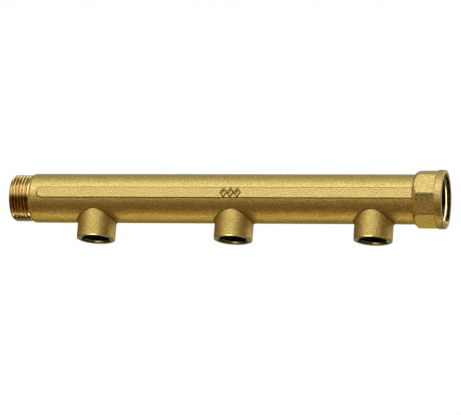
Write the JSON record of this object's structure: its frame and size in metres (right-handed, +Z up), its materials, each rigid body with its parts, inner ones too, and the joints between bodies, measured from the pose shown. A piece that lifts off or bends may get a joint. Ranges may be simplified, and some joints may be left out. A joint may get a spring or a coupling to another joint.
{
  "type": "distribution manifold",
  "caption": "Straight round brass manifold bar: male thread at one end, wide eight-sided female socket at the other, round female-threaded outlets along its lower side.",
  "frame": {"origin": "mid-length of the bar, under its axis, on the plane of the outlet mouths", "axes": "+X along the bar from the male end towards the female end, +Z up away from the outlet mouths, -Y the side with the raised strip"},
  "size_m": [0.3124, 0.0412, 0.0506],
  "materials": {
    "cast_brass": "shot-blasted, fine grain, satin",
    "machined_brass": "turned, bright, fine tool lines"
  },
  "bodies": {
    "root": {"male_thread_end": "machined_brass", "main_tube": "cast_brass", "outlet_boss_left": "cast_brass", "outlet_boss_middle": "cast_brass", "outlet_boss_right": "cast_brass", "female_socket": "cast_brass"}
  },
  "joints": []
}
